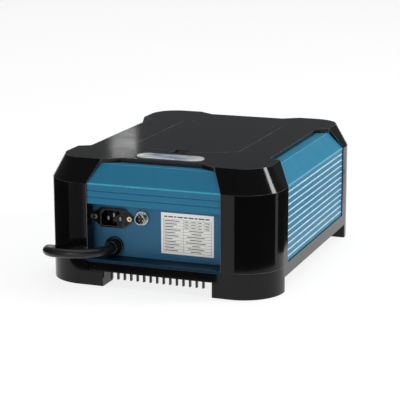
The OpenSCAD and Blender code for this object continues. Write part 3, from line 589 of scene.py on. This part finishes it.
# Black discs in the inlet's two hollow rivets, as painted shade for their bores
RIVET_R = 2.1
rivet_low, rivet_high = span("inlet_rivets")
bore_shade_bm = bmesh.new()
for x in (rivet_low.x + RIVET_R, rivet_high.x - RIVET_R):
    bore_mouth = (x, rivet_low.y, (rivet_low.z + rivet_high.z) / 2)
    lathe(bore_shade_bm, [(-0.03, 0.95), (0.3, 0.9)], bore_mouth, (0, 1, 0), 24)
SLOTS["rubber_black"].put(mesh_piece("rivet_bore_shade", bore_shade_bm))


# ---------- Plug and tie of the cell cable ----------

# The plug: a ribbed, tapered sleeve, a grip with grooves and a collar round the contact block
SLEEVE_RIBS = 5
GRIP_GROOVES = 8
GRIP_R = 12.95
plug_low, plug_high = span("cell_plug")
plug_back = (plug_low.x, (plug_low.y + plug_high.y) / 2, (plug_low.z + plug_high.z) / 2)
outline = [(0, 6)]
for k in range(SLEEVE_RIBS):
    x, radius = 0.5 + 3 * k, 6.5 + 0.42 * k
    outline += [(x, radius), (x + 1.8, radius + 0.2), (x + 2, radius - 0.8), (x + 2.8, radius - 0.7)]
outline += [(16, 9), (16.2, 12.2), (16.9, 12.9)]
for k in range(GRIP_GROOVES):
    x = 18 + 2.9 * k
    outline += [(x, GRIP_R), (x + 0.3, 12.2), (x + 1.1, 12.2), (x + 1.4, GRIP_R)]
outline += [(41.3, 12.9), (41.9, 12.3), (42.1, 11), (53.5, 11), (54, 10.5), (54, 9.9), (53.6, 9.5), (43, 9.5)]
plug_bm = bmesh.new()
lathe(plug_bm, outline, plug_back, (1, 0, 0), 64)
plug = mesh_piece("cell_plug_body", plug_bm)
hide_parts("cell_plug")
surface("grip_rubber", (0.011, 0.011, 0.012), 0.5, vary=0.3, size=6, grain=0.4, relief=0.3).put(plug)

# The tie: a flat band round the coil's turns, with rounded corners
TIE_ANGLE = math.radians(62)
TIE_THICK = 0.9
TIE_HALF_WIDTH = 8
TIE_LOW = 0.05
CORNER_STEP = 15
tie_in, tie_out = COIL_R - CABLE_D - 0.6, COIL_R + CABLE_D + 0.6
section = []
for r, z, radius, start in ((tie_out - 4, 16.6, 4, 0), (tie_in + 4, 16.6, 4, 90), (tie_in + 3, 3.3, 3, 180),
                            (tie_out - 3, 3.3, 3, 270)):
    for degrees in range(start, start + 90 + 1, CORNER_STEP):
        a = math.radians(degrees)
        section.append(Vector((r + radius * math.cos(a), 0, z + radius * math.sin(a))))
along = Vector((math.cos(TIE_ANGLE), math.sin(TIE_ANGLE), 0))
across = Vector((-along.y, along.x, 0))
section_centre = Vector((COIL_R, 0, CABLE_D))
tie_bm = bmesh.new()
loops = []
for rise, offset in ((0, -TIE_HALF_WIDTH), (TIE_THICK, -TIE_HALF_WIDTH), (TIE_THICK, TIE_HALF_WIDTH),
                     (0, TIE_HALF_WIDTH)):
    loop = []
    for point in section:
        out = (point - section_centre).normalized() * rise
        foot = Vector((COIL_CENTRE.x, COIL_CENTRE.y, max(TIE_LOW, point.z + out.z)))
        loop.append(tie_bm.verts.new(along * (point.x + out.x) + across * offset + foot))
    loops.append(loop)
for first, second in zip(loops, loops[1:] + loops[:1]):
    join_rings(tie_bm, first, second)
tie = mesh_piece("coil_tie", tie_bm)
fabric.put(tie)


# ---------- Print on the control panel ----------

def print_bar(bm, x0, x1, y0, y1, z, rise=PRINT_RISE):
    """A printed bar on a face that points up."""
    slab(bm, x0, x1, y0, y1, z - PRINT_SINK, z + rise)


# Level bars, a line and a status row in the display
LEVELS = 9
STATUS_DASHES = 5
glass_low, glass_high = span("display_glass")
bars_bm = bmesh.new()
for k in range(LEVELS):
    x = glass_low.x + 6 + k * 5.6
    print_bar(bars_bm, x, x + 3.6, glass_low.y + 5, glass_low.y + 8 + 1.25 * k, glass_high.z)
print_bar(bars_bm, glass_low.x + 5, glass_high.x - 5, glass_high.y - 5.2, glass_high.y - 4.7, glass_high.z)
for k in range(STATUS_DASHES):
    x = glass_low.x + 6 + k * 10
    print_bar(bars_bm, x, x + 5, glass_high.y - 3.8, glass_high.y - 2.4, glass_high.z)
bars = mesh_piece("display_bars", bars_bm, smooth=False)
surface("display_ink", (0.03, 0.05, 0.03), 0.4, vary=0.3, size=4, grain=0.5).put(bars)

# A frame with a crossbar, rings round the keys and dashes above the lamps
LINE_W = 0.4
FRAME_X = 50
CROSSBAR_Y = -30
LAMP_PITCH = 12
KEY_SLOTS = {"key_power": "key_red", "key_menu": "key_white", "key_down": "key_white", "key_up": "key_white",
             "key_ok": "key_green"}
overlay_low, overlay_high = span("control_overlay")
sheet_z = overlay_high.z
print_bm = bmesh.new()
for name in KEY_SLOTS:
    key_low, key_high = span(name)
    centre = (key_low + key_high) / 2
    ring_band(print_bm, (centre.x, centre.y, sheet_z), (0, 0, 1), 7.6, 8.1, -PRINT_SINK, PRINT_RISE)
for x in (-FRAME_X, FRAME_X - LINE_W):
    print_bar(print_bm, x, x + LINE_W, overlay_low.y + 5, overlay_high.y - 5, sheet_z)
for y in (overlay_low.y + 5, CROSSBAR_Y, overlay_high.y - 5 - LINE_W):
    print_bar(print_bm, -FRAME_X, FRAME_X, y, y + LINE_W, sheet_z)
for k in (-1, 0, 1):
    print_bar(print_bm, k * LAMP_PITCH - 3, k * LAMP_PITCH + 3, -17.4, -16.6, sheet_z)
ink.put(mesh_piece("overlay_print", print_bm, smooth=False))

SIGN_RISE = 0.06
ARROW_STEPS = 6
STEP_H = 0.6


def key_sign(name):
    """The symbol on a key: a ring with a bar, three lines, a ring, or an arrow in steps."""
    key_low, key_high = span(name)
    centre = (key_low + key_high) / 2
    cap_z = key_high.z
    bm = bmesh.new()

    def bar(x0, x1, y0, y1):
        print_bar(bm, centre.x + x0, centre.x + x1, centre.y + y0, centre.y + y1, cap_z, SIGN_RISE)

    def ring(r_in, r_out):
        ring_band(bm, (centre.x, centre.y, cap_z), (0, 0, 1), r_in, r_out, -PRINT_SINK, SIGN_RISE)

    if name == "key_power":
        ring(1.9, 2.4)
        bar(-0.28, 0.28, 0.6, 3.1)
    elif name == "key_menu":
        for y in (-1.8, -0.3, 1.2):
            bar(-2.2, 2.2, y, y + 0.55)
    elif name == "key_ok":
        ring(1.4, 2.2)
    else:
        way = 1 if name == "key_up" else -1
        for k in range(ARROW_STEPS):
            y = way * (1.8 - STEP_H * k)
            half = 0.4 * (k + 0.6)
            bar(-half, half, min(y, y - way * STEP_H), max(y, y - way * STEP_H))
    return bm


for name, slot in KEY_SLOTS.items():
    sign_ink = ink if slot == "key_white" else pale_ink
    sign_ink.put(mesh_piece(name + "_sign", key_sign(name), body=name, smooth=False))


# ---------- Studio, with lights in metres and the stage in millimetres ----------

def area_light(name, at, aim, width, height, watts):
    data = bpy.data.lights.new(name, "AREA")
    data.shape = "RECTANGLE"
    data.size, data.size_y = width, height
    data.energy = watts
    lamp = link(name, data)
    lamp.location = at
    lamp.rotation_mode = "QUATERNION"
    lamp.rotation_quaternion = (Vector(aim) - Vector(at)).to_track_quat("-Z", "Y")


world = bpy.data.worlds.new("studio")
scene.world = world
world.use_nodes = True
sky = world.node_tree.nodes["Background"].inputs
sky["Color"].default_value = (0.95, 0.97, 1, 1)
sky["Strength"].default_value = 0.12

scene.view_settings.view_transform = "Standard"
area_light("overhead", (0.2, 0.6, 3.2), (0.1, 0.5, 0), 5, 5, 105)
area_light("key", (1.8, 0.6, 1.05), (0.1, -0.1, 0.08), 0.4, 1.0, 22)
area_light("front", (-0.5, -2.4, 0.7), (0, 0, 0.0), 1.6, 0.7, 15)
area_light("rear_strip", (0.8, 3.0, 0.95), (0.1, 0, 0.1), 0.25, 0.6, 0.6)
area_light("left_patch", (-1.254, 2.642, 0.717), (-0.08, -0.06, 0.137), 0.075, 0.03, 0.03)

FLOOR_HALF = 12000
FLOOR_Z = -0.02  # just below the surface, so that nothing that lies on it flickers
floor_bm = bmesh.new()
bmesh.ops.create_grid(floor_bm, x_segments=2, y_segments=2, size=FLOOR_HALF)
for vert in floor_bm.verts:
    vert.co.z = FLOOR_Z
floor = mesh_piece("floor", floor_bm)
floor.parent = None
paper = Shader("floor_paper")
paper.set(Base_Color=paper.mix(paper.noise(900, 2), (0.2, 0.2, 0.2), (0.22, 0.22, 0.22)),
          Roughness=paper.remap(paper.noise(4, 2), 0.75, 0.85), Emission_Strength=0.82,
          Emission_Color=(1, 1, 1, 1), IOR=1.2)
paper.put(floor)


def flag(name, path, top, skin):
    """A low flag along a path on the floor, which is seen in reflections only."""
    bm = bmesh.new()
    posts = [[bm.verts.new((x, y, z)) for z in (0, top)] for x, y in path]
    for a, b in zip(posts, posts[1:]):
        bm.faces.new((a[0], b[0], b[1], a[1]))
    made = mesh_piece(name, bm)
    made.parent = None
    made.visible_camera = made.visible_diffuse = made.visible_shadow = made.visible_transmission = False
    skin.put(made)
    return made


ARC_STEPS = 24


def arc(centre, radius, first, last):
    """Points round a centre, from one azimuth to another in degrees, where 0 is towards -Y."""
    angles = [math.radians(first + (last - first) * k / ARC_STEPS) for k in range(ARC_STEPS + 1)]
    return [(centre[0] + radius * math.sin(a), centre[1] - radius * math.cos(a)) for a in angles]


velvet = surface("black_velvet", (0.01, 0.01, 0.01), 0.9, size=50, grain=1)
grey_felt = surface("grey_felt", (0.3, 0.3, 0.3), 0.9, size=50, grain=1)
flags = [
    flag("flag_right", arc((90, -120), 152, -5, 100), 100, velvet),
    flag("flag_left", arc((-90, -120), 150, -120, -42), 104, velvet),
    flag("flag_left_front", arc((-90, -120), 150, -42, -14), 104, grey_felt),
    flag("flag_side", [(275, -45), (232, 0), (190, 35), (185, 120), (185, 310)], 85, velvet),
    flag("flag_front", [(-190, -218), (52, -218)], 13, velvet),
]


# ---------- Edges ----------

SHARP = math.radians(17)
WELD = 0.002


def soften(width, *names):
    """Welds the faces of CAD nodes and rounds their sharp edges."""
    for name in names:
        modifiers = nodes[name].modifiers
        modifiers.new("weld", "WELD").merge_threshold = WELD * MM
        bevel = modifiers.new("round", "BEVEL")
        bevel.width = width * MM
        bevel.segments = 2
        bevel.limit_method = "ANGLE"
        bevel.angle_limit = SHARP
        bevel.miter_outer = "MITER_ARC"
        bevel.use_clamp_overlap = True
        weighted = modifiers.new("weighted", "WEIGHTED_NORMAL")
        weighted.mode = "FACE_AREA_WITH_ANGLE"
        weighted.weight = 60


soften(0.6, "top_cover")
soften(0.4, "door")
soften(0.25, "side_panel_left", "side_panel_right", "rear_panel", "front_visor", "connector_panel")
soften(0.25, "heat_sink")
soften(0.35, "control_bezel", "display_frame", "gland_cap", "gland_body", "inlet_body")
soften(0.3, "socket_shell", *KEY_SLOTS)
